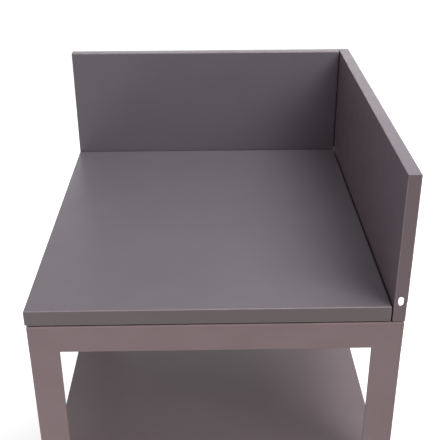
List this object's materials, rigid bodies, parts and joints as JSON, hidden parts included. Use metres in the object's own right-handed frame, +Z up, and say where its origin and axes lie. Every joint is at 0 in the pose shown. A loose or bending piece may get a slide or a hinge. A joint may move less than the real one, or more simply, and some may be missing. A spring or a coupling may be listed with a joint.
{
  "type": "outdoor kitchen corner module",
  "caption": "Corner unit for an outdoor kitchen: angle frame with levelling feet, folded metal worktop, low upstands on the back and right sides, and an open shelf below.",
  "frame": {"origin": "on the floor under the middle of the footprint", "axes": "+X to the right upstand, +Y to the back upstand, +Z up; the open front faces -Y"},
  "size_m": [0.62, 0.7, 1.133],
  "materials": {
    "panel_coat": "smooth satin powder coat, warm grey",
    "frame_coat": "fine-texture matt powder coat, brown grey",
    "zinc_steel": "zinc plated",
    "spacer_rubber": "matt black",
    "foot_plastic": "matt black",
    "sole_rubber": "matt black"
  },
  "bodies": {
    "root": {"worktop": "panel_coat", "right_upstand": "panel_coat", "back_upstand": "panel_coat", "shelf": "panel_coat", "worktop_stiffener_left": "panel_coat", "worktop_stiffener_right": "panel_coat", "shelf_stiffener": "panel_coat", "front_left_leg": "frame_coat", "front_right_leg": "frame_coat", "rear_left_leg": "frame_coat", "rear_right_leg": "frame_coat", "front_top_rail": "frame_coat", "rear_top_rail": "frame_coat", "left_top_rail": "frame_coat", "right_top_rail": "frame_coat", "worktop_bolts": "zinc_steel", "worktop_washers": "zinc_steel", "worktop_weld_nuts": "zinc_steel", "upstand_bolts": "zinc_steel", "upstand_washers": "zinc_steel", "upstand_weld_nuts": "zinc_steel", "corner_joint_bolt": "zinc_steel", "corner_joint_slot_washer": "zinc_steel", "corner_joint_washer": "zinc_steel", "corner_joint_nut": "zinc_steel", "shelf_bolts": "zinc_steel", "shelf_washers": "zinc_steel", "foot_lock_nuts": "zinc_steel", "worktop_spacers": "spacer_rubber", "upstand_spacers": "spacer_rubber", "shelf_spacers": "spacer_rubber", "corner_joint_spacer": "spacer_rubber", "front_left_foot_plate": "frame_coat", "front_right_foot_plate": "frame_coat", "rear_left_foot_plate": "frame_coat", "rear_right_foot_plate": "frame_coat"},
    "front_left_foot": {"front_left_foot_cup": "foot_plastic", "front_left_foot_sole": "sole_rubber"},
    "front_left_stem": {"front_left_foot_stem": "zinc_steel"},
    "front_right_foot": {"front_right_foot_cup": "foot_plastic", "front_right_foot_sole": "sole_rubber"},
    "front_right_stem": {"front_right_foot_stem": "zinc_steel"},
    "rear_left_foot": {"rear_left_foot_cup": "foot_plastic", "rear_left_foot_sole": "sole_rubber"},
    "rear_left_stem": {"rear_left_foot_stem": "zinc_steel"},
    "rear_right_foot": {"rear_right_foot_cup": "foot_plastic", "rear_right_foot_sole": "sole_rubber"},
    "rear_right_stem": {"rear_right_foot_stem": "zinc_steel"}
  },
  "joints": [
    {"name": "front_left_foot_height", "type": "slide", "parent": "root", "child": "front_left_foot", "axis": [0, 0, -1], "range_m": [0, 0.015]},
    {"name": "front_left_stem_turn", "type": "hinge", "parent": "front_left_foot", "child": "front_left_stem", "pos_m": [-0.2815, -0.3215, 0.03], "axis": [0, 0, -1], "range_deg": [0, 3600.5]},
    {"name": "front_right_foot_height", "type": "slide", "parent": "root", "child": "front_right_foot", "axis": [0, 0, -1], "range_m": [0, 0.015]},
    {"name": "front_right_stem_turn", "type": "hinge", "parent": "front_right_foot", "child": "front_right_stem", "pos_m": [0.2815, -0.3215, 0.03], "axis": [0, 0, -1], "range_deg": [0, 3600.5]},
    {"name": "rear_left_foot_height", "type": "slide", "parent": "root", "child": "rear_left_foot", "axis": [0, 0, -1], "range_m": [0, 0.015]},
    {"name": "rear_left_stem_turn", "type": "hinge", "parent": "rear_left_foot", "child": "rear_left_stem", "pos_m": [-0.2815, 0.3215, 0.03], "axis": [0, 0, -1], "range_deg": [0, 3600.5]},
    {"name": "rear_right_foot_height", "type": "slide", "parent": "root", "child": "rear_right_foot", "axis": [0, 0, -1], "range_m": [0, 0.015]},
    {"name": "rear_right_stem_turn", "type": "hinge", "parent": "rear_right_foot", "child": "rear_right_stem", "pos_m": [0.2815, 0.3215, 0.03], "axis": [0, 0, -1], "range_deg": [0, 3600.5]}
  ],
  "couplings": [
    {"joint": "front_left_stem_turn", "follows": "front_left_foot_height", "rad_per_m": 4188.8},
    {"joint": "front_right_stem_turn", "follows": "front_right_foot_height", "rad_per_m": 4188.8},
    {"joint": "rear_left_stem_turn", "follows": "rear_left_foot_height", "rad_per_m": 4188.8},
    {"joint": "rear_right_stem_turn", "follows": "rear_right_foot_height", "rad_per_m": 4188.8}
  ]
}
